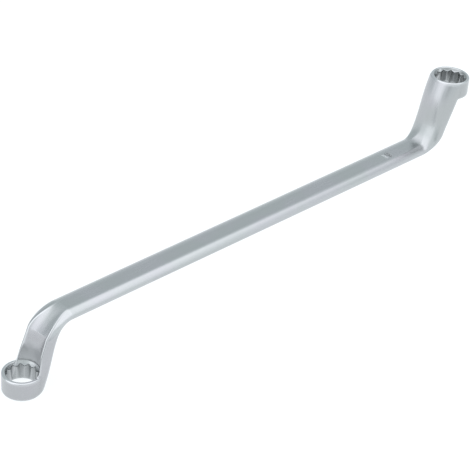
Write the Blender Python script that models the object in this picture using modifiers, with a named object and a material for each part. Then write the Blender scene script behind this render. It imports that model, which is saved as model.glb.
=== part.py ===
# Double-ended ring spanner with deep offset necks, one steel drop forging.
# X runs along the shank from the near, smaller ring to the far, larger ring. Z is parallel to
# both socket axes and Y runs across the shank. The origin is the middle of the spanner's box.
from collections import namedtuple
from math import cos, pi, radians, sin, tan

import bmesh
import bpy
from mathutils import Vector

# Sockets: the two nut sizes and how freely they fit
NEAR_ACROSS_FLATS = 0.017
FAR_ACROSS_FLATS = 0.019
SOCKET_CLEARANCE = 0.00016
NEAR_SOCKET_TURN = radians(-1.5)
FAR_SOCKET_TURN = radians(6)

# Rings
NEAR_RING_DIAMETER = 0.0254
FAR_RING_DIAMETER = 0.0281
NEAR_FREE_FACE_DIAMETER = 0.0250
FAR_FREE_FACE_DIAMETER = 0.0277
NEAR_RING_HEIGHT = 0.0132
FAR_RING_HEIGHT = 0.0130
RIM_ROUNDING = 0.0010

# Mouths of the sockets: cones on both faces, which run on above the ring as a relief in the neck
NECK_MOUTH_MARGIN = 0.0006
NECK_MOUTH_ANGLE = radians(30)
NECK_RELIEF_MARGIN = 0.0013
NEAR_FREE_MOUTH_MARGIN = 0.0003
FAR_FREE_MOUTH_MARGIN = 0.0012
FREE_MOUTH_ANGLE = radians(45)

# Where the rings stand from each other and from the shank's axis
RING_SPACING = 0.3850
NEAR_DROP = 0.0387
FAR_RISE = 0.0429
NEAR_FOOT_OFFSET = 0.0029
FAR_FOOT_OFFSET = 0.0026
FOOT_INSET = 0.0001
FOOT_LEVEL = 0.0011

# Necks, which lean from the rings to the shank and bend into it
NECK_SLOPE = radians(70)
BEND_RADIUS = 0.0154
NEAR_NECK_WIDTH = 0.0232
FAR_NECK_WIDTH = 0.0252
RIDGE_INSET = 0.0026
OUTER_DEPTH_AT_RING = 0.0046
OUTER_DEPTH_AT_BEND = 0.0044
INNER_DEPTH_AT_BEND = 0.0057
INNER_FLAT = 0.0030
BEND_THINNING = 0.0016
TROUGH_AT_RING = 0.0092
TROUGH_AT_BEND = 0.0018

# Shank
SHANK_THICKNESS = 0.0071
NEAR_SHANK_WIDTH = 0.0210
FAR_SHANK_WIDTH = 0.0218
NEAR_FLAT_WIDTH = 0.0108
FAR_FLAT_WIDTH = 0.0110

# Shape of the section: how round its sides are, how its trough runs and how long the foot holds
SHARP_SIDE = radians(60)
SHANK_SIDE = radians(45)
SOFT_SIDE = radians(90)
LIP_SHARE = 0.92
TROUGH_POWER = 3.2
FOOT_POWER = 1.3

# How finely the round shapes are divided
FACE_STEPS = 6
SIDE_STEPS = 6
NECK_STEPS = 8
BEND_STEPS = 14
SHANK_STEPS = 10
RING_SEGMENTS = 72
RIM_STEPS = 5
CUT_OVERRUN = 0.0020
MERGE_DISTANCE = 0.00001
SHARP_EDGE = radians(19)

# Places worked out from the sizes above
NEAR_RING_RADIUS = NEAR_RING_DIAMETER / 2
FAR_RING_RADIUS = FAR_RING_DIAMETER / 2
LENGTH = NEAR_RING_RADIUS + RING_SPACING + FAR_RING_RADIUS
DEPTH = NEAR_RING_HEIGHT / 2 + NEAR_DROP + FAR_RISE + FAR_RING_HEIGHT / 2
NEAR_RING = Vector((NEAR_RING_RADIUS - LENGTH / 2, 0, NEAR_RING_HEIGHT / 2 - DEPTH / 2))
FAR_RING = NEAR_RING + Vector((RING_SPACING, 0, NEAR_DROP + FAR_RISE))

Ring = namedtuple("Ring", "radius free_radius height")
Face = namedtuple("Face", "half_width height trough side")
Section = namedtuple("Section", "half_width top bottom")
Station = namedtuple("Station", "place angle section")
End = namedtuple("End", "name centre ring across_flats turn free_margin upside_down")

NEAR = Ring(NEAR_RING_RADIUS, NEAR_FREE_FACE_DIAMETER / 2, NEAR_RING_HEIGHT)
FAR = Ring(FAR_RING_RADIUS, FAR_FREE_FACE_DIAMETER / 2, FAR_RING_HEIGHT)
# The far ring stands above the shank, so it is upside down.
ENDS = (
    End("near", NEAR_RING, NEAR, NEAR_ACROSS_FLATS, NEAR_SOCKET_TURN, NEAR_FREE_MOUTH_MARGIN, False),
    End("far", FAR_RING, FAR, FAR_ACROSS_FLATS, FAR_SOCKET_TURN, FAR_FREE_MOUTH_MARGIN, True))


def clear_scene():
    for item in list(bpy.data.objects):
        bpy.data.objects.remove(item, do_unlink=True)


def new_collection(name):
    collection = bpy.data.collections.new(name)
    bpy.context.scene.collection.children.link(collection)
    return collection


def new_object(name, bm, collection):
    mesh = bpy.data.meshes.new(name)
    bm.to_mesh(mesh)
    bm.free()
    item = bpy.data.objects.new(name, mesh)
    collection.objects.link(item)
    return item


def steel():
    material = bpy.data.materials.new("chromed_steel")
    material.use_nodes = True
    shader = material.node_tree.nodes["Principled BSDF"]
    shader.inputs["Base Color"].default_value = (0.60, 0.62, 0.63, 1.0)
    shader.inputs["Metallic"].default_value = 1.0
    shader.inputs["Roughness"].default_value = 0.28
    return material


def mix(first, second, share):
    """A value, or a section, part of the way from the first to the second."""
    if isinstance(first, tuple):
        return type(first)(*(mix(a, b, share) for a, b in zip(first, second)))
    return first + (second - first) * share


def ease(share):
    return share * share * (3 - 2 * share)


def quarter(face, half_width):
    """A quarter of a section, from the middle of a broad face over its ridge to the widest point."""
    lip = face.half_width * LIP_SHARE
    points = []
    for step in range(FACE_STEPS + 1):
        across = lip * sin(pi / 2 * step / FACE_STEPS)
        dip = face.trough * (1 - (across / lip) ** TROUGH_POWER)
        points.append((across, face.height - dip))
    middle = (face.half_width - half_width * cos(face.side)) / (1 - cos(face.side))
    for step in range(SIDE_STEPS + 1):
        angle = face.side * (1 - step / SIDE_STEPS)
        across = middle + (half_width - middle) * cos(angle)
        points.append((across, face.height * sin(angle) / sin(face.side)))
    return points


def outline(section):
    """All of a section as (across, height) points, once round."""
    top = quarter(section.top, section.half_width)
    bottom = [(across, -height) for across, height in quarter(section.bottom, section.half_width)]
    right = top + bottom[-2::-1]
    left = [(-across, height) for across, height in right[-2:0:-1]]
    return right + left


def neck_sections(ring, foot_offset, neck_width):
    """The section at a neck's foot, just inside its ring's wall, and the one where the bend begins.

    Both have the outer face of the bend on top."""
    foot_radius = ring.free_radius - FOOT_INSET
    foot = Section(
        (foot_radius ** 2 - foot_offset ** 2) ** 0.5,
        Face(ring.radius - RIDGE_INSET, OUTER_DEPTH_AT_RING, TROUGH_AT_RING, SHARP_SIDE),
        Face(INNER_FLAT / 2, foot_radius - foot_offset, 0, SOFT_SIDE))
    neck_half = neck_width / 2
    crook = Section(
        neck_half,
        Face(neck_half - RIDGE_INSET, OUTER_DEPTH_AT_BEND, TROUGH_AT_BEND, SHARP_SIDE),
        Face(INNER_FLAT / 2, INNER_DEPTH_AT_BEND, 0, SOFT_SIDE))
    return foot, crook


def shank_section(width, flat_width):
    face = Face(flat_width / 2, SHANK_THICKNESS / 2, 0, SHANK_SIDE)
    return Section(width / 2, face, face)


def turned_over(section):
    return Section(section.half_width, section.bottom, section.top)


def neck_stations(centre, ring, foot_offset, drop, neck_width, shank):
    """Stations from inside a ring up its neck and round its bend, for a ring below the shank."""
    foot, crook = neck_sections(ring, foot_offset, neck_width)
    foot_place = centre + Vector((foot_offset, 0, FOOT_LEVEL - ring.height / 2))
    rise = drop + ring.height / 2 - FOOT_LEVEL - BEND_RADIUS * (1 - cos(NECK_SLOPE))
    neck = Vector((rise / tan(NECK_SLOPE), 0, rise))
    stations = []
    for step in range(NECK_STEPS + 1):
        share = step / NECK_STEPS
        angle = mix(pi / 2, NECK_SLOPE, share)
        section = mix(foot, crook, ease(share ** FOOT_POWER))
        stations.append(Station(foot_place + neck * share, angle, section))
    pivot = foot_place + neck + Vector((sin(NECK_SLOPE), 0, -cos(NECK_SLOPE))) * BEND_RADIUS
    for step in range(1, BEND_STEPS + 1):
        share = step / BEND_STEPS
        angle = NECK_SLOPE * (1 - share)
        place = pivot + Vector((-sin(angle), 0, cos(angle))) * BEND_RADIUS
        section = mix(crook, shank, ease(share))
        # Bending stretches the outer side, which thins it most in the middle of the bend.
        outer = section.top._replace(height=section.top.height - BEND_THINNING * sin(pi * share))
        stations.append(Station(place, angle, section._replace(top=outer)))
    return stations


def arm_stations():
    """Stations of the whole arm, from inside the near ring to inside the far ring."""
    near_shank = shank_section(NEAR_SHANK_WIDTH, NEAR_FLAT_WIDTH)
    far_shank = shank_section(FAR_SHANK_WIDTH, FAR_FLAT_WIDTH)
    near = neck_stations(NEAR_RING, NEAR, NEAR_FOOT_OFFSET, NEAR_DROP, NEAR_NECK_WIDTH, near_shank)
    # The far end is the same shape turned half round, so it is laid out from the far ring and turned.
    far = neck_stations(Vector(), FAR, FAR_FOOT_OFFSET, FAR_RISE, FAR_NECK_WIDTH, far_shank)
    far = [Station(FAR_RING - item.place, item.angle, turned_over(item.section)) for item in far[::-1]]
    shank = []
    for step in range(1, SHANK_STEPS):
        share = step / SHANK_STEPS
        place = near[-1].place.lerp(far[0].place, share)
        shank.append(Station(place, 0, mix(near_shank, far_shank, share)))
    return near + shank + far


def add_arm(collection):
    """Shank and necks, skinned through their sections."""
    bm = bmesh.new()
    loops = []
    for place, angle, section in arm_stations():
        up = Vector((-sin(angle), 0, cos(angle)))
        across = Vector((0, 1, 0))
        loops.append([bm.verts.new(place + across * y + up * height) for y, height in outline(section)])
    for first, second in zip(loops, loops[1:]):
        for index in range(len(first)):
            following = (index + 1) % len(first)
            bm.faces.new((first[index], first[following], second[following], second[index]))
    bm.faces.new(loops[0])
    bm.faces.new(loops[-1])
    bmesh.ops.recalc_face_normals(bm, faces=bm.faces)
    return new_object("double_ring_spanner", bm, collection)


def turned(name, profile, end, collection):
    """A solid turned about a ring's axis from (radius, height) points, listed from neck to free side."""
    bm = bmesh.new()
    verts = [bm.verts.new((radius, 0, height)) for radius, height in profile]
    for first, second in zip(verts, verts[1:]):
        bm.edges.new((first, second))
    item = new_object(name, bm, collection)
    item.location = end.centre
    if end.upside_down:
        item.rotation_euler = (pi, 0, 0)
    screw = item.modifiers.new("turn", "SCREW")
    screw.steps = RING_SEGMENTS
    screw.render_steps = RING_SEGMENTS
    screw.use_merge_vertices = True
    screw.merge_threshold = MERGE_DISTANCE
    return item


def ring_profile(ring):
    """Half outline of a solid ring blank, with rounded rims and its free face, the smaller one, below."""
    upper = []
    lower = []
    for step in range(RIM_STEPS + 1):
        angle = pi / 2 * (1 - step / RIM_STEPS)
        inset = RIM_ROUNDING * (1 - cos(angle))
        level = ring.height / 2 - RIM_ROUNDING * (1 - sin(angle))
        upper.append((ring.radius - inset, level))
        lower.insert(0, (ring.free_radius - inset, -level))
    return [(0, ring.height / 2)] + upper + lower + [(0, -ring.height / 2)]


def mouths_profile(end):
    """Half outline of a socket's two conical mouths, the relief above them and a core between them."""
    core = end.across_flats / 2
    corner = corner_radius(end.across_flats)
    neck_mouth = corner + NECK_MOUTH_MARGIN
    relief = corner + NECK_RELIEF_MARGIN
    neck_level = end.ring.height / 2
    relief_level = neck_level + (relief - neck_mouth) / tan(NECK_MOUTH_ANGLE)
    relief_top = relief_level + end.ring.height
    free_mouth = corner + end.free_margin
    free_level = -end.ring.height / 2
    return [
        (0, relief_top),
        (relief, relief_top),
        (relief, relief_level),
        (core, neck_level - (neck_mouth - core) / tan(NECK_MOUTH_ANGLE)),
        (core, free_level + (free_mouth - core) / tan(FREE_MOUTH_ANGLE)),
        (free_mouth + CUT_OVERRUN * tan(FREE_MOUTH_ANGLE), free_level - CUT_OVERRUN),
        (0, free_level - CUT_OVERRUN)]


def corner_radius(across_flats):
    return (across_flats + SOCKET_CLEARANCE) / 2 / cos(pi / 6)


def broach(name, end, extra_turn, collection):
    """A six-sided broach. Two of them, a twelfth of a turn apart, cut a socket of twelve points."""
    bm = bmesh.new()
    radius = corner_radius(end.across_flats)
    length = end.ring.height + CUT_OVERRUN * 2
    bmesh.ops.create_cone(bm, cap_ends=True, segments=6, radius1=radius, radius2=radius, depth=length)
    item = new_object(name, bm, collection)
    item.location = end.centre
    item.rotation_euler = (0, 0, end.turn + extra_turn)
    return item


def boolean(item, operation, tool):
    modifier = item.modifiers.new(tool.name, "BOOLEAN")
    modifier.operation = operation
    modifier.solver = "EXACT"
    modifier.object = tool
    tool.hide_render = True
    tool.display_type = "WIRE"


def cut_socket(arm, end, cutters):
    """Open a ring's mouths on both faces and broach it through."""
    mouths = turned(f"{end.name}_mouths", mouths_profile(end), end, cutters)
    # Half a facet of turn keeps the cutter's edges off the ring's own.
    mouths.rotation_euler.z = pi / RING_SEGMENTS
    boolean(arm, "DIFFERENCE", mouths)
    for number, extra_turn in enumerate((0, pi / 6)):
        boolean(arm, "DIFFERENCE", broach(f"{end.name}_broach_{number}", end, extra_turn, cutters))


def build():
    clear_scene()
    parts = new_collection("double_ring_spanner")
    cutters = new_collection("cutters")
    arm = add_arm(parts)
    for end in ENDS:
        boolean(arm, "UNION", turned(f"{end.name}_ring_blank", ring_profile(end.ring), end, cutters))
    for end in ENDS:
        cut_socket(arm, end, cutters)
    arm.data.shade_smooth()
    arm.data.set_sharp_from_angle(angle=SHARP_EDGE)
    arm.data.materials.append(steel())


build()
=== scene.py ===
from collections import namedtuple
from math import cos, pi, radians, sin, tan

import bmesh
import bpy
import numpy as np
from mathutils import Euler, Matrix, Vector
from mathutils.kdtree import KDTree


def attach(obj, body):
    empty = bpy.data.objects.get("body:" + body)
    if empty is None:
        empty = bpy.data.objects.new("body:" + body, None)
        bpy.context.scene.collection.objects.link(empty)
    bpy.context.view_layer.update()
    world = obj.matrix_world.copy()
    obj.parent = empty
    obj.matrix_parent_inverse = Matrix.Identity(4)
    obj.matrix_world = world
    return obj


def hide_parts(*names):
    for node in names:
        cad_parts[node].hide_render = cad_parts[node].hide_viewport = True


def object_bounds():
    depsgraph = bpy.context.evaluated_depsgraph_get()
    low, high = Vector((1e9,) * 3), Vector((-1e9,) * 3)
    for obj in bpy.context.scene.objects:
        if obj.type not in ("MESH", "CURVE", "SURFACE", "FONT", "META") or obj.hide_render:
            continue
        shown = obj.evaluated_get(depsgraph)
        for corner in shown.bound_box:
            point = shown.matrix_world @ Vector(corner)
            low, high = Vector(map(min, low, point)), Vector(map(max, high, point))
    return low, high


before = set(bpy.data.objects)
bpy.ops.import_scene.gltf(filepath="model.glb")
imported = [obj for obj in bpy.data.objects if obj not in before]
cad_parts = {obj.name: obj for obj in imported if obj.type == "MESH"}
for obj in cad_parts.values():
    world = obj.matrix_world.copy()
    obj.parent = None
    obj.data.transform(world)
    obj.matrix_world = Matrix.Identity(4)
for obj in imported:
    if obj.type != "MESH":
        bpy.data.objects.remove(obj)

CAD_NODE = "double_ring_spanner"
cad_low, cad_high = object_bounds()
MM = 0.001


# The forging: shank and necks.
# One bar of chrome vanadium steel is hammered between two dies into a flat shank with bevelled sides,
# and its ends are cranked. The outer face of each crank keeps a trough between two raised ridges.

Ring = namedtuple("Ring", "radius free_radius height")
Face = namedtuple("Face", "half_width height trough side")
Section = namedtuple("Section", "half_width top bottom")
Station = namedtuple("Station", "place angle section")

NEAR_RING_DIAMETER = 25.4 * MM
FAR_RING_DIAMETER = 28.1 * MM
NEAR_FREE_FACE_DIAMETER = 25.0 * MM
FAR_FREE_FACE_DIAMETER = 27.7 * MM
NEAR_RING_HEIGHT = 13.2 * MM
FAR_RING_HEIGHT = 13.0 * MM
NEAR = Ring(NEAR_RING_DIAMETER / 2, NEAR_FREE_FACE_DIAMETER / 2, NEAR_RING_HEIGHT)
FAR = Ring(FAR_RING_DIAMETER / 2, FAR_FREE_FACE_DIAMETER / 2, FAR_RING_HEIGHT)
NEAR_RING = Vector((cad_low.x + NEAR.radius, 0, cad_low.z + NEAR.height / 2))
FAR_RING = Vector((cad_high.x - FAR.radius, 0, cad_high.z - FAR.height / 2))
NEAR_DROP = 38.7 * MM
FAR_RISE = FAR_RING.z - NEAR_RING.z - NEAR_DROP
NEAR_FOOT_OFFSET = 2.9 * MM
FAR_FOOT_OFFSET = 2.6 * MM
FOOT_INSET = 0.1 * MM
FOOT_LEVEL = 1.1 * MM

NECK_SLOPE = radians(70)
BEND_RADIUS = 15.4 * MM
NEAR_NECK_WIDTH = 23.2 * MM
FAR_NECK_WIDTH = 25.2 * MM
RIDGE_INSET = 2.6 * MM
OUTER_DEPTH_AT_RING = 4.6 * MM
OUTER_DEPTH_AT_BEND = 4.4 * MM
INNER_DEPTH_AT_BEND = 5.7 * MM
INNER_FLAT = 3.0 * MM
BEND_THINNING = 1.6 * MM
TROUGH_AT_RING = 9.2 * MM
TROUGH_AT_BEND = 1.8 * MM

SHANK_THICKNESS = 7.1 * MM
NEAR_SHANK_WIDTH = 21.0 * MM
FAR_SHANK_WIDTH = 21.8 * MM
NEAR_FLAT_WIDTH = 10.8 * MM
FAR_FLAT_WIDTH = 11.0 * MM

SHARP_SIDE = radians(60)
SHANK_SIDE = radians(45)
SOFT_SIDE = radians(90)
LIP_SHARE = 0.92
TROUGH_POWER = 3.2
FOOT_POWER = 1.3

FACE_STEPS = 10
SIDE_STEPS = 10
NECK_STEPS = 18
BEND_STEPS = 28
SHANK_STEPS = 24


def mix(first, second, share):
    """A value, or a section, part of the way from the first to the second."""
    if isinstance(first, tuple):
        return type(first)(*(mix(a, b, share) for a, b in zip(first, second)))
    return first + (second - first) * share


def ease(share):
    return share * share * (3 - 2 * share)


def quarter(face, half_width):
    """A quarter of a section, from the middle of a broad face over its ridge to the widest point."""
    lip = face.half_width * LIP_SHARE
    points = []
    for step in range(FACE_STEPS + 1):
        across = lip * sin(pi / 2 * step / FACE_STEPS)
        dip = face.trough * (1 - (across / lip) ** TROUGH_POWER)
        points.append((across, face.height - dip))
    middle = (face.half_width - half_width * cos(face.side)) / (1 - cos(face.side))
    for step in range(SIDE_STEPS + 1):
        angle = face.side * (1 - step / SIDE_STEPS)
        across = middle + (half_width - middle) * cos(angle)
        points.append((across, face.height * sin(angle) / sin(face.side)))
    return points


def outline(section):
    """All of a section as (across, height) points, once round."""
    top = quarter(section.top, section.half_width)
    bottom = [(across, -height) for across, height in quarter(section.bottom, section.half_width)]
    right = top + bottom[-2::-1]
    left = [(-across, height) for across, height in right[-2:0:-1]]
    return right + left


def neck_sections(ring, foot_offset, neck_width):
    """The section at a neck's foot, just inside its ring's wall, and the one where the bend begins."""
    foot_radius = ring.free_radius - FOOT_INSET
    foot = Section(
        (foot_radius ** 2 - foot_offset ** 2) ** 0.5,
        Face(ring.radius - RIDGE_INSET, OUTER_DEPTH_AT_RING, TROUGH_AT_RING, SHARP_SIDE),
        Face(INNER_FLAT / 2, foot_radius - foot_offset, 0, SOFT_SIDE))
    crook = Section(
        neck_width / 2,
        Face(neck_width / 2 - RIDGE_INSET, OUTER_DEPTH_AT_BEND, TROUGH_AT_BEND, SHARP_SIDE),
        Face(INNER_FLAT / 2, INNER_DEPTH_AT_BEND, 0, SOFT_SIDE))
    return foot, crook


def neck_stations(centre, ring, foot_offset, drop, neck_width, shank):
    """Stations from inside a ring up its neck and round its bend, for a ring below the shank."""
    foot, crook = neck_sections(ring, foot_offset, neck_width)
    foot_place = centre + Vector((foot_offset, 0, FOOT_LEVEL - ring.height / 2))
    rise = drop + ring.height / 2 - FOOT_LEVEL - BEND_RADIUS * (1 - cos(NECK_SLOPE))
    neck = Vector((rise / tan(NECK_SLOPE), 0, rise))
    stations = []
    for step in range(NECK_STEPS + 1):
        share = step / NECK_STEPS
        angle = mix(pi / 2, NECK_SLOPE, share)
        section = mix(foot, crook, ease(share ** FOOT_POWER))
        stations.append(Station(foot_place + neck * share, angle, section))
    pivot = foot_place + neck + Vector((sin(NECK_SLOPE), 0, -cos(NECK_SLOPE))) * BEND_RADIUS
    for step in range(1, BEND_STEPS + 1):
        share = step / BEND_STEPS
        angle = NECK_SLOPE * (1 - share)
        place = pivot + Vector((-sin(angle), 0, cos(angle))) * BEND_RADIUS
        section = mix(crook, shank, ease(share))
        # Bending stretches the outer side, which thins it most in the middle of the bend.
        outer = section.top._replace(height=section.top.height - BEND_THINNING * sin(pi * share))
        stations.append(Station(place, angle, section._replace(top=outer)))
    return stations


def shank_section(width, flat_width):
    face = Face(flat_width / 2, SHANK_THICKNESS / 2, 0, SHANK_SIDE)
    return Section(width / 2, face, face)


def turned_over(section):
    return Section(section.half_width, section.bottom, section.top)


def arm_stations():
    """Stations of the whole arm, from inside the near ring to inside the far ring."""
    near_shank = shank_section(NEAR_SHANK_WIDTH, NEAR_FLAT_WIDTH)
    far_shank = shank_section(FAR_SHANK_WIDTH, FAR_FLAT_WIDTH)
    near = neck_stations(NEAR_RING, NEAR, NEAR_FOOT_OFFSET, NEAR_DROP, NEAR_NECK_WIDTH, near_shank)
    # The far end is the same shape turned half round, so it is laid out from the far ring and turned.
    far = neck_stations(Vector(), FAR, FAR_FOOT_OFFSET, FAR_RISE, FAR_NECK_WIDTH, far_shank)
    far = [Station(FAR_RING - item.place, item.angle, turned_over(item.section)) for item in far[::-1]]
    shank = []
    for step in range(1, SHANK_STEPS):
        share = step / SHANK_STEPS
        place = near[-1].place.lerp(far[0].place, share)
        shank.append(Station(place, 0, mix(near_shank, far_shank, share)))
    return near + shank + far


def new_object(name, bm):
    mesh = bpy.data.meshes.new(name)
    bm.to_mesh(mesh)
    bm.free()
    item = bpy.data.objects.new(name, mesh)
    bpy.context.scene.collection.objects.link(item)
    return item


def skin(name, stations):
    bm = bmesh.new()
    loops = []
    for place, angle, section in stations:
        up = Vector((-sin(angle), 0, cos(angle)))
        points = [place + Vector((0, across, 0)) + up * height for across, height in outline(section)]
        loops.append([bm.verts.new(point) for point in points])
    for first, second in zip(loops, loops[1:]):
        for index in range(len(first)):
            following = (index + 1) % len(first)
            bm.faces.new((first[index], first[following], second[following], second[index]))
    bm.faces.new(loops[0])
    bm.faces.new(loops[-1])
    bmesh.ops.recalc_face_normals(bm, faces=bm.faces)
    return new_object(name, bm)


forging = skin("spanner_forging", arm_stations())


# The two rings.
# Each end is upset into a plain ring, a little smaller at its free face, with a rounded rim.
# The socket is opened by a conical mouth on both faces and then broached to twelve points.

End = namedtuple("End", "name centre ring across_flats turn free_margin upside_down")

NEAR_ACROSS_FLATS = 17 * MM
FAR_ACROSS_FLATS = 19 * MM
SOCKET_CLEARANCE = 0.16 * MM
NEAR_SOCKET_TURN = radians(-1.5)
FAR_SOCKET_TURN = radians(6)
RIM_ROUNDING = 1.0 * MM
NECK_MOUTH_MARGIN = 0.6 * MM
NECK_MOUTH_ANGLE = radians(30)
NECK_RELIEF_MARGIN = 1.3 * MM
NEAR_FREE_MOUTH_MARGIN = 0.3 * MM
FAR_FREE_MOUTH_MARGIN = 1.2 * MM
FREE_MOUTH_ANGLE = radians(45)
RING_SEGMENTS = 144
RIM_STEPS = 8
CUT_OVERRUN = 2.0 * MM
MERGE_DISTANCE = 0.01 * MM

# The far ring stands above the shank, so it is upside down.
ENDS = (
    End("near", NEAR_RING, NEAR, NEAR_ACROSS_FLATS, NEAR_SOCKET_TURN, NEAR_FREE_MOUTH_MARGIN, False),
    End("far", FAR_RING, FAR, FAR_ACROSS_FLATS, FAR_SOCKET_TURN, FAR_FREE_MOUTH_MARGIN, True))


def turned(name, profile, end):
    """A solid turned about a ring's axis from (radius, height) points, listed from neck to free side."""
    bm = bmesh.new()
    verts = [bm.verts.new((radius, 0, height)) for radius, height in profile]
    edges = [bm.edges.new(pair) for pair in zip(verts, verts[1:])]
    bmesh.ops.spin(
        bm, geom=verts + edges, cent=(0, 0, 0), axis=(0, 0, 1), angle=2 * pi, steps=RING_SEGMENTS,
        use_merge=True)
    bmesh.ops.remove_doubles(bm, verts=bm.verts, dist=MERGE_DISTANCE)
    bmesh.ops.recalc_face_normals(bm, faces=bm.faces)
    item = new_object(name, bm)
    item.location = end.centre
    if end.upside_down:
        item.rotation_euler.x = pi
    return item


def ring_profile(ring):
    """Half outline of a solid ring blank, with rounded rims and its free face, the smaller one, below."""
    upper = []
    lower = []
    for step in range(RIM_STEPS + 1):
        angle = pi / 2 * (1 - step / RIM_STEPS)
        inset = RIM_ROUNDING * (1 - cos(angle))
        level = ring.height / 2 - RIM_ROUNDING * (1 - sin(angle))
        upper.append((ring.radius - inset, level))
        lower.insert(0, (ring.free_radius - inset, -level))
    return [(0, ring.height / 2)] + upper + lower + [(0, -ring.height / 2)]


def corner_radius(across_flats):
    return (across_flats + SOCKET_CLEARANCE) / 2 / cos(pi / 6)


def mouths_profile(end):
    """Half outline of a socket's two conical mouths, the relief above them and a core between them."""
    core = end.across_flats / 2
    corner = corner_radius(end.across_flats)
    neck_mouth = corner + NECK_MOUTH_MARGIN
    relief = corner + NECK_RELIEF_MARGIN
    neck_level = end.ring.height / 2
    relief_level = neck_level + (relief - neck_mouth) / tan(NECK_MOUTH_ANGLE)
    relief_top = relief_level + end.ring.height
    free_mouth = corner + end.free_margin
    free_level = -end.ring.height / 2
    return [
        (0, relief_top),
        (relief, relief_top),
        (relief, relief_level),
        (core, neck_level - (neck_mouth - core) / tan(NECK_MOUTH_ANGLE)),
        (core, free_level + (free_mouth - core) / tan(FREE_MOUTH_ANGLE)),
        (free_mouth + CUT_OVERRUN * tan(FREE_MOUTH_ANGLE), free_level - CUT_OVERRUN),
        (0, free_level - CUT_OVERRUN)]


def broach(name, end, extra_turn):
    """A six-sided broach. Two of them, a twelfth of a turn apart, cut a socket of twelve points."""
    bm = bmesh.new()
    radius = corner_radius(end.across_flats)
    length = end.ring.height + CUT_OVERRUN * 2
    bmesh.ops.create_cone(bm, cap_ends=True, segments=6, radius1=radius, radius2=radius, depth=length)
    item = new_object(name, bm)
    item.location = end.centre
    item.rotation_euler.z = end.turn + extra_turn
    return item


def settle(item):
    """Turn an object's modifiers into its mesh."""
    bpy.context.view_layer.update()
    seen = item.evaluated_get(bpy.context.evaluated_depsgraph_get())
    mesh = bpy.data.meshes.new_from_object(seen)
    item.modifiers.clear()
    item.data = mesh


def shape(item, operation, tool):
    """Add a tool's solid to an object, or take it away, and drop the tool."""
    modifier = item.modifiers.new(tool.name, "BOOLEAN")
    modifier.operation = operation
    modifier.solver = "EXACT"
    modifier.object = tool
    settle(item)
    bpy.data.objects.remove(tool, do_unlink=True)


for end in ENDS:
    shape(forging, "UNION", turned(f"{end.name}_ring", ring_profile(end.ring), end))
for end in ENDS:
    mouths = turned(f"{end.name}_mouths", mouths_profile(end), end)
    # Half a facet of turn keeps the cutter's edges off the ring's own.
    mouths.rotation_euler.z = pi / RING_SEGMENTS
    shape(forging, "DIFFERENCE", mouths)
    for extra_turn in (0, pi / 6):
        shape(forging, "DIFFERENCE", broach(f"{end.name}_broach", end, extra_turn))


# The skin of the forging.
# Tumbling and blasting soften every edge a little, and the inner corners keep the dies' own radii. The
# sockets are cut later and stay sharper. An even, fine mesh carries all that softness.

VOXEL = 0.32 * MM
EDGE_SOFTENING = 0.5
SOCKET_SOFTENING = 0.12
SOFTENING_ROUNDS = 8
HOLLOW_HEIGHT = 0.006 * MM
FILLET_REACH = 5
FILLET_GAIN = 2
FILLET_ROUNDS = 60
SOCKET_MARGIN = 1.0 * MM
RELIEF_CLEARANCE = 1.2 * MM
RELIEF_REACH = 0.9 * MM
RELIEF_HEIGHT = 16.0 * MM
RELIEF_ROUNDS = 30
NOTE_REACH = 3


class Skin:
    """The points of a mesh as arrays, with each point's neighbours along the edges."""

    def __init__(self, mesh):
        self.mesh = mesh
        self.count = len(mesh.vertices)
        self.ends = self.read(mesh.edges, "vertices", 2).astype(int).T
        self.places = self.read(mesh.vertices, "co", 3)
        self.degree = np.bincount(self.ends.ravel(), minlength=self.count)

    def read(self, items, name, width):
        values = np.empty(len(items) * width, dtype=np.int32 if name == "vertices" else np.float32)
        items.foreach_get(name, values)
        return values.reshape(-1, width)

    def mean(self, values):
        """Each point's mean of its neighbours' values."""
        first, second = self.ends
        total = np.bincount(first, values[second], self.count)
        total += np.bincount(second, values[first], self.count)
        return total / self.degree

    def spread(self, values, rounds):
        for _ in range(rounds):
            values = self.mean(values)
        return values

    def middles(self):
        """The middle of each point's neighbours."""
        return np.stack([self.mean(column) for column in self.places.T], axis=1)

    def settle_down(self, rounds, weight):
        """Draw each point towards the middle of its neighbours, as far as its weight lets it."""
        for _ in range(rounds):
            self.places += (self.middles() - self.places) * weight[:, None]
        self.mesh.vertices.foreach_set("co", self.places.ravel())
        self.mesh.update()

    def height(self):
        """How far each point stands above its neighbours, along its normal."""
        normals = self.read(self.mesh.vertex_normals, "vector", 3)
        return ((self.places - self.middles()) * normals).sum(axis=1)

    def note(self, name, values):
        """Keep one value for each point on the mesh, for the finish to read."""
        kept = self.mesh.attributes.new(name, "FLOAT", "POINT")
        kept.data.foreach_set("value", values.astype(np.float32))


def level_from(places, end):
    """How far points lie from the middle of a ring towards its neck."""
    return (places[:, 2] - end.centre.z) * (-1 if end.upside_down else 1)


def in_column(places, end, margin, low, high):
    """True for points round a ring's axis, between two levels."""
    reach = np.hypot(places[:, 0] - end.centre.x, places[:, 1] - end.centre.y)
    level = level_from(places, end)
    return (reach < corner_radius(end.across_flats) + margin) & (level > low) & (level < high)


def in_socket(places, end, margin):
    """True for points inside a ring's broached hole."""
    reach = end.ring.height / 2 + margin
    return in_column(places, end, margin, -reach, reach)


def relief_share(places, end):
    """How much of each point is in the hollow that the mouth's cutter leaves, which fades up the neck."""
    low = end.ring.height / 2 + RELIEF_CLEARANCE
    inside = in_column(places, end, NECK_RELIEF_MARGIN + RELIEF_REACH, low, low + RELIEF_HEIGHT)
    return inside * (1 - (level_from(places, end) - low) / RELIEF_HEIGHT)


remesh = forging.modifiers.new("even_mesh", "REMESH")
remesh.mode = "VOXEL"
remesh.voxel_size = VOXEL
settle(forging)

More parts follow.
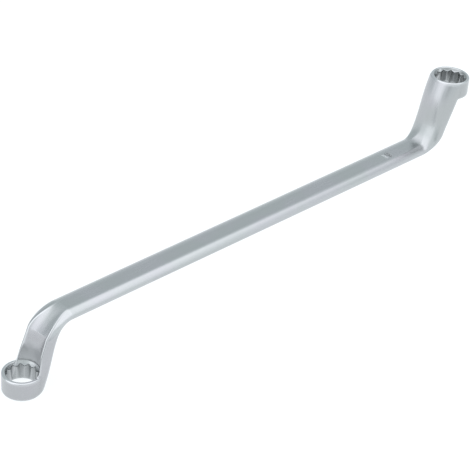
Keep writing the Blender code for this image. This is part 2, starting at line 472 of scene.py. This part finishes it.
skin_points = Skin(forging.data)
weight = np.full(skin_points.count, EDGE_SOFTENING)
for end in ENDS:
    weight[in_socket(skin_points.places, end, SOCKET_MARGIN)] = SOCKET_SOFTENING
skin_points.settle_down(SOFTENING_ROUNDS, weight)

hollow = skin_points.spread(np.clip(-skin_points.height() / HOLLOW_HEIGHT, 0, 1), FILLET_REACH)
for end in ENDS:
    hollow[in_socket(skin_points.places, end, SOCKET_MARGIN)] = 0
skin_points.settle_down(FILLET_ROUNDS, np.clip(hollow * FILLET_GAIN, 0, 1) * EDGE_SOFTENING)

relief = sum(relief_share(skin_points.places, end) for end in ENDS)
skin_points.settle_down(RELIEF_ROUNDS, skin_points.spread(relief, NOTE_REACH) * EDGE_SOFTENING)


# The stamped sizes.
# A hardened punch sinks the across-flats size in plain figures into the shank, on the face from which
# each ring's socket is seen. Known fault: the bold outline of the 9 crosses itself, so the cut leaves
# the 9 standing out of the face instead of sunk.

MARK_SIZE = 8.2 * MM
MARK_BOLDNESS = 0.28 * MM
MARK_DEPTH = 0.30 * MM
MARK_DISTANCE = 131.5 * MM
FIGURE_EDGE = radians(60)


def figures(number, place, upside_down):
    """Raised figures, ready to be sunk into a face of the shank."""
    curve = bpy.data.curves.new(f"figures_{number}", "FONT")
    curve.body = str(number)
    curve.size = MARK_SIZE
    curve.align_x = "CENTER"
    curve.align_y = "CENTER"
    curve.offset = MARK_BOLDNESS
    curve.extrude = MARK_DEPTH
    item = bpy.data.objects.new(f"figures_{number}", curve)
    bpy.context.scene.collection.objects.link(item)
    bpy.context.view_layer.update()
    mesh = bpy.data.meshes.new_from_object(item.evaluated_get(bpy.context.evaluated_depsgraph_get()))
    bpy.data.objects.remove(item, do_unlink=True)
    bm = bmesh.new()
    bm.from_mesh(mesh)
    bmesh.ops.remove_doubles(bm, verts=bm.verts, dist=MERGE_DISTANCE)
    tool = new_object(f"stamp_{number}", bm)
    tool.location = place
    if upside_down:
        tool.rotation_euler.x = pi
    return tool


near_end, far_end = ENDS
shank_level = NEAR_RING.z + NEAR_DROP
mark_places = {}
for end, side in ((far_end, 1), (near_end, -1)):
    place = Vector((side * MARK_DISTANCE, 0, shank_level + side * SHANK_THICKNESS / 2))
    shape(forging, "DIFFERENCE", figures(round(end.across_flats / MM), place, side < 0))
    mark_places[end.name] = np.array(place) - (0, 0, side * MARK_DEPTH)
forging.data.shade_smooth()
forging.data.set_sharp_from_angle(angle=FIGURE_EDGE)


# The notes on the skin.
# The finish differs from place to place. So each point keeps whether it stands out or lies hollow, which
# tool made it, and how far it lies from the ridges that run along the arm.

STANDS_OUT = 0.012 * MM
LIES_HOLLOW = 0.012 * MM
RIDGE_SPACING = 0.2 * MM
RIDGE_REACH = 2.0 * MM
# A ridge stands out where its face is wide, at the rings, and is only a bevel's edge along the shank.
RIDGE_WIDTHS = (3.5 * MM, 5.4 * MM, 8.5 * MM)
RIDGE_STRENGTHS = (0, 0.15, 1)


def ridge_points():
    """Points along the ridges of the arm, with the side that each is on and how far it stands out."""
    stations = arm_stations()
    for first, second in zip(stations, stations[1:]):
        count = max(1, round((second.place - first.place).length / RIDGE_SPACING))
        for step in range(count):
            share = step / count
            place = first.place.lerp(second.place, share)
            angle = mix(first.angle, second.angle, share)
            section = mix(first.section, second.section, share)
            up = Vector((-sin(angle), 0, cos(angle)))
            for face, way in ((section.top, 1), (section.bottom, -1)):
                strength = np.interp(face.half_width, RIDGE_WIDTHS, RIDGE_STRENGTHS)
                for side in (1, -1):
                    across = Vector((0, side * face.half_width, 0))
                    yield place + across + up * way * face.height, side, strength


def ridge_notes(places):
    """How far each point lies outside the nearest ridge, in millimetres, and how strong that ridge is."""
    ridges = list(ridge_points())
    tree = KDTree(len(ridges))
    for index, ridge in enumerate(ridges):
        tree.insert(ridge[0], index)
    tree.balance()
    outside = np.empty(len(places))
    strengths = np.empty(len(places))
    for index, place in enumerate(places):
        point, nearest, distance = tree.find(place)
        side, strength = ridges[nearest][1:]
        outside[index] = distance / MM if (place[1] - point.y) * side > 0 else -distance / MM
        strengths[index] = strength if distance < RIDGE_REACH else 0
    return outside, strengths


skin_points = Skin(forging.data)
height = skin_points.height()
skin_points.note("edge", np.clip(skin_points.spread(height, NOTE_REACH) / STANDS_OUT, 0, 1))
skin_points.note("recess", np.clip(skin_points.spread(-height, NOTE_REACH) / LIES_HOLLOW, 0, 1))
socket = np.zeros(skin_points.count)
figure = np.zeros(skin_points.count)
for end in ENDS:
    socket[in_socket(skin_points.places, end, 0)] = 1
    off_mark = np.abs(skin_points.places - mark_places[end.name])
    figure[(off_mark < (MARK_SIZE, MARK_SIZE / 2, MARK_DEPTH / 2)).all(axis=1)] = 1
skin_points.note("socket", skin_points.spread(socket, NOTE_REACH))
skin_points.note("figure", figure)
# The larger socket is painted darker: painted shade.
shaded_far_socket = in_socket(skin_points.places, far_end, far_end.free_margin).astype(float)
skin_points.note("shaded_far_socket", skin_points.spread(shaded_far_socket, NOTE_REACH))
relief = sum(relief_share(skin_points.places, end) for end in ENDS)
skin_points.note("relief", skin_points.spread(relief, NOTE_REACH))
outside, strengths = ridge_notes(skin_points.places)
skin_points.note("outside_ridge", outside)
skin_points.note("ridge_strength", skin_points.spread(strengths, NOTE_REACH))


# The plating.
# Nickel and satin chrome lie over the blasted forging: cool grey with a fine grain, drifting between
# greenish and lilac. Edges that the tumbling reached are brighter. Painted highlights brighten the ridge
# crests and the stamped figures, and painted light brightens the cutter's relief. Painted shade darkens
# the hollows, which are also rougher, the grooves beside the ridges and the larger socket.

COOL_GREY = (0.427, 0.441, 0.442, 1)
LILAC_GREY = (0.440, 0.440, 0.456, 1)
# Brighter metal at worn edges, and a painted highlight on the ridge crests.
BARE_EDGE_AND_HIGHLIGHT = (0.58, 0.59, 0.60, 1)
# Painted shade for the hollows.
HOLLOW_SHADE = (0.34, 0.35, 0.35, 1)
SOCKET_GREY = (0.395, 0.410, 0.415, 1)
# Painted shade for the larger socket.
FAR_SOCKET_SHADE = (0.27, 0.28, 0.28, 1)
# Painted highlight for the stamped figures, and painted light over the cutter's relief.
HIGHLIGHT_GREY = (0.66, 0.67, 0.68, 1)
# Painted shade for the grooves beside the ridges.
GROOVE_SHADE = (0.24, 0.25, 0.25, 1)

NOISE_DETAIL = 2
NOISE_MIDDLE = 0.5
DRIFT_SCALE = 26
WAVE_SCALE = 130
DIMPLE_SCALE = 520
STREAK_SCALE = 900
TOOL_MARK_SCALE = 1800
GRAIN_SCALE = 2600
DRIFT_RANGE = (0.42, 0.60)
ALONG_SHANK = (0.06, 1, 1)
UP_SOCKET = (1, 1, 0.05)
# Both bands are counted in millimetres outside a ridge.
CREST_BAND = (-1.7, -0.9, -0.6, 0.0)
GROOVE_BAND = (-0.1, 0.2, 0.5, 0.9)
SATIN_ROUGHNESS = 0.235
BUMP_STRENGTH = 0.5
BUMP_DISTANCE = 0.1 * MM


class Wire:
    """A socket in a tree of nodes, which adds its own Math nodes when it is used in a sum."""

    def __init__(self, tree, socket):
        self.tree = tree
        self.socket = socket

    def sum(self, operation, *values):
        return self.tree.node("ShaderNodeMath", {"operation": operation}, dict(enumerate(values)))

    def __add__(self, other):
        return self.sum("ADD", self, other)

    def __radd__(self, other):
        return self.sum("ADD", other, self)

    def __sub__(self, other):
        return self.sum("SUBTRACT", self, other)

    def __rsub__(self, other):
        return self.sum("SUBTRACT", other, self)

    def __mul__(self, other):
        return self.sum("MULTIPLY", self, other)

    def __rmul__(self, other):
        return self.sum("MULTIPLY", other, self)


class Tree:
    """The nodes of a material or of the world."""

    def __init__(self, owner, end):
        owner.use_nodes = True
        self.nodes = owner.node_tree.nodes
        self.links = owner.node_tree.links
        self.end = self.nodes[end]

    def node(self, kind, settings=None, inputs=None, output=0):
        """Add a node, set it up, fill or link its sockets, and return one of its outputs."""
        node = self.nodes.new(kind)
        for name, value in (settings or {}).items():
            setattr(node, name, value)
        for key, value in (inputs or {}).items():
            self.feed(node.inputs[key], value)
        return Wire(self, node.outputs[output])

    def feed(self, socket, value):
        if isinstance(value, Wire):
            self.links.new(value.socket, socket)
        else:
            socket.default_value = value

    def finish(self, values):
        for name, value in values.items():
            self.feed(self.end.inputs[name], value)

    def blend(self, share, first, second):
        """A colour part of the way from the first to the second."""
        return self.node("ShaderNodeMix", {"data_type": "RGBA"}, {0: share, 6: first, 7: second}, 2)

    def vector(self, operation, inputs, output=0):
        return self.node("ShaderNodeVectorMath", {"operation": operation}, inputs, output)

    def between(self, value, low, high):
        """0 up to low, 1 from high on, and an eased slope between."""
        return self.node(
            "ShaderNodeMapRange", {"interpolation_type": "SMOOTHSTEP"},
            {"Value": value, "From Min": low, "From Max": high})

    def band(self, value, start, full, fading, gone):
        """1 from full to fading, and 0 before start and after gone."""
        return self.between(value, start, full) - self.between(value, fading, gone)

    def noise(self, place, scale):
        inputs = {"Vector": place, "Scale": scale, "Detail": NOISE_DETAIL}
        return self.node("ShaderNodeTexNoise", None, inputs)

    def noted(self, name):
        """A value that the mesh keeps for each point."""
        return self.node("ShaderNodeAttribute", {"attribute_name": name}, None, "Fac")


chrome = bpy.data.materials.new("satin_chrome")
plating = Tree(chrome, "Principled BSDF")
place = plating.node("ShaderNodeTexCoord", output="Object")
stretched = plating.node("ShaderNodeMapping", None, {"Vector": place, "Scale": ALONG_SHANK})
upright = plating.node("ShaderNodeMapping", None, {"Vector": place, "Scale": UP_SOCKET})
drift = plating.between(plating.noise(place, DRIFT_SCALE), *DRIFT_RANGE)
waves = plating.noise(place, WAVE_SCALE)
dimples = plating.noise(place, DIMPLE_SCALE)
grain = plating.noise(place, GRAIN_SCALE)
streaks = plating.noise(stretched, STREAK_SCALE)
tool_marks = plating.noise(upright, TOOL_MARK_SCALE)
edge = plating.noted("edge")
recess = plating.noted("recess")
socket = plating.noted("socket")
relief = plating.noted("relief")
outside = plating.noted("outside_ridge")
strength = plating.noted("ridge_strength")
# Along each ridge the bump raises a crest, which is painted with a highlight.
crest = plating.band(outside, *CREST_BAND) * strength
# The groove beside each crest is sunk by the bump and painted with shade.
groove = plating.band(outside, *GROOVE_BAND) * strength

# Where each tint lies, how far it covers the one below, and the tint.
colour = plating.blend(drift, COOL_GREY, LILAC_GREY)
for where, cover, tint in (
        # painted shade in the hollows
        (recess, 0.4, HOLLOW_SHADE),
        (socket, 0.9, SOCKET_GREY),
        # painted shade in the larger socket
        (plating.noted("shaded_far_socket"), 0.9, FAR_SOCKET_SHADE),
        (edge, 0.6, BARE_EDGE_AND_HIGHLIGHT),
        # painted light over the relief, where reflections fall dark
        (relief, 0.95, HIGHLIGHT_GREY),
        # painted highlight on the stamped figures
        (plating.noted("figure"), 1, HIGHLIGHT_GREY),
        # painted highlight on the ridge crests
        (crest, 0.8, BARE_EDGE_AND_HIGHLIGHT),
        # painted shade in the grooves
        (groove, 0.7, GROOVE_SHADE)):
    colour = plating.blend(where * cover, colour, tint)

# What roughens or smooths the satin, and by how much.
roughness = SATIN_ROUGHNESS + sum(where * amount for where, amount in (
    (grain - NOISE_MIDDLE, 0.10),
    (streaks - NOISE_MIDDLE, 0.10),
    (drift, 0.02),
    (recess, 0.18),
    (socket, 0.06),
    (relief, 0.32),
    (edge, -0.07)))

# What stands out or lies deep, and how far, as a share of the bump's distance.
unevenness = sum(where * amount for where, amount in (
    (crest, 1.5),
    (groove, -1.6),
    (waves, 0.60),
    (dimples, 0.10),
    (grain, 0.022),
    (streaks, 0.018),
    (tool_marks * socket, 0.10)))
bump = {"Strength": BUMP_STRENGTH, "Distance": BUMP_DISTANCE, "Height": unevenness}
plating.finish({
    "Base Color": colour,
    "Metallic": 1.0,
    "Roughness": roughness,
    "Normal": plating.node("ShaderNodeBump", None, bump)})
forging.data.materials.clear()
forging.data.materials.append(chrome)
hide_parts(CAD_NODE)
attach(forging, "root")


# The light.
# A white cloth hangs over the spanner from side to side, down to the table at the left, lit from above.
# The room behind it is grey, the side of the camera paler, and the table lights the foot of both. The
# camera itself shows as a small dark patch.

BACK_GREY = (0.76, 0.836, 0.864, 1)
FRONT_GREY = (1.14, 1.21, 1.24, 1)
FOOT_GREY = (0.90, 0.97, 1.00, 1)
CLOTH_FOOT = (1.60, 1.66, 1.72, 1)
CLOTH_TOP = (1.83, 1.88, 1.95, 1)
CAMERA_GREY = (0.79, 0.85, 0.87, 1)

# The cloth hangs like an arch. OVER points across it to the back, and ALONG points through it to the right.
OVER = Vector((0.316, 0.949, -0.175))
ALONG = Vector((0.949, -0.316, 0))
UP = Vector((0, 0, 1))
CAMERA_SIDE = Vector((-0.69, -0.71, 0.13)).normalized()

# Each pair is how far a direction goes along one of those aims, where a slope starts and where it ends.
FRONT_TO_BACK = (-0.35, 0.05)
FOOT_TO_WALL = (0.0, 0.28)
CLOTH_RISE = (0.25, 0.80)
CLOTH_FRONT_EDGE = (-0.66, -0.36)
CLOTH_BACK_EDGE = (0.05, 0.38)
CLOTH_BACK_LEAN = 0.13
CLOTH_RIGHT_EDGE = (0.50, 0.76)
CAMERA_PATCH = (cos(radians(16)), cos(radians(4)))


def tent_light(tree, direction):
    """How bright the tent looks in a direction."""
    def towards(aim):
        return tree.vector("DOT_PRODUCT", {0: direction, 1: aim}, "Value")
    over = towards(OVER)
    light = tree.blend(tree.between(over, *FRONT_TO_BACK), FRONT_GREY, BACK_GREY)
    light = tree.blend(tree.between(towards(UP), *FOOT_TO_WALL), FOOT_GREY, light)
    cloth = tree.blend(tree.between(towards(UP), *CLOTH_RISE), CLOTH_FOOT, CLOTH_TOP)
    past_back_edge = tree.between(over - towards(UP) * CLOTH_BACK_LEAN, *CLOTH_BACK_EDGE)
    on_cloth = tree.between(over, *CLOTH_FRONT_EDGE) - past_back_edge
    on_cloth = on_cloth * (1 - tree.between(towards(ALONG), *CLOTH_RIGHT_EDGE))
    light = tree.blend(on_cloth, light, cloth)
    return tree.blend(tree.between(towards(CAMERA_SIDE), *CAMERA_PATCH), light, CAMERA_GREY)


world = bpy.data.worlds.new("tent")
bpy.context.scene.world = world
tent = Tree(world, "Background")
every_way = tent.node("ShaderNodeTexCoord", output="Generated")
tent.finish({"Color": tent_light(tent, every_way), "Strength": 1.0})


# The floor.
# A plain sheet of pale paper on a light table, whose lit pane lies under the spanner and runs away
# from the camera. Beyond the pane the flat sheet glows with painted light: the tent's light as it is
# seen from the spanner's feet. The smaller ring stands on it.

FLOOR_SIZE = 12.0
FLOOR_GAP = 0.2 * MM
PAPER_WHITE = (0.12, 0.12, 0.12, 1)
PAPER_ROUGHNESS = 0.9
PANE_WHITE = (1.04, 1.08, 1.11, 1)
PANE_TURN = (0, 0, radians(46))
PANE_REACH = (0.62, 0.34, 1)
PANE_FADE = (1.0, 2.0)
TABLE_LIGHT = 0.85
# The tent's light is painted as seen from the foot of the smaller ring close to it, and from that of the
# far neck elsewhere.
RING_FOOT = Vector((NEAR_RING.x, 0, 0))
NECK_FOOT = Vector((FAR_RING.x, 0, 0))
RING_SURROUNDINGS = (0.05, 0.14)

bm = bmesh.new()
bmesh.ops.create_grid(bm, x_segments=1, y_segments=1, size=FLOOR_SIZE / 2)
floor = new_object("floor", bm)
floor.location.z = cad_low.z - FLOOR_GAP

pale_paper = bpy.data.materials.new("pale_paper")
paper = Tree(pale_paper, "Principled BSDF")
spot = paper.node("ShaderNodeTexCoord", output="Object")
off_ring = paper.vector("SUBTRACT", {0: spot, 1: RING_FOOT})
elsewhere = paper.between(paper.vector("LENGTH", {0: off_ring}, "Value"), *RING_SURROUNDINGS)
step_off = paper.vector("SCALE", {0: NECK_FOOT - RING_FOOT, "Scale": elsewhere})
away = paper.vector("NORMALIZE", {0: paper.vector("SUBTRACT", {0: off_ring, 1: step_off})})
on_pane = paper.node(
    "ShaderNodeMapping", {"vector_type": "TEXTURE"},
    {"Vector": spot, "Rotation": PANE_TURN, "Scale": PANE_REACH})
past_pane = paper.between(paper.vector("LENGTH", {0: on_pane}, "Value"), *PANE_FADE)
paper.finish({
    "Base Color": PAPER_WHITE,
    "Roughness": PAPER_ROUGHNESS,
    "Emission Color": paper.blend(past_pane, PANE_WHITE, tent_light(paper, away)),
    "Emission Strength": TABLE_LIGHT})
floor.data.materials.append(pale_paper)


# The camera.
# It stands at the photograph's viewing angle, in front of the smaller ring and above it. Its lens is
# long, so the far ring looks hardly smaller than it is.

CAMERA_PLACE = Vector((-0.6655, -0.6065, 0.5703))
CAMERA_TURN = Euler((radians(56.87), radians(-4.35), radians(-44.03)))
FOCAL_LENGTH = 123.5
SENSOR_WIDTH = 36
lens = bpy.data.cameras.new("camera")
lens.lens = FOCAL_LENGTH
lens.sensor_width = SENSOR_WIDTH
camera = bpy.data.objects.new("camera", lens)
camera.location = CAMERA_PLACE
camera.rotation_euler = CAMERA_TURN
bpy.context.scene.collection.objects.link(camera)
bpy.context.scene.camera = camera
bpy.context.scene.view_settings.view_transform = "Standard"
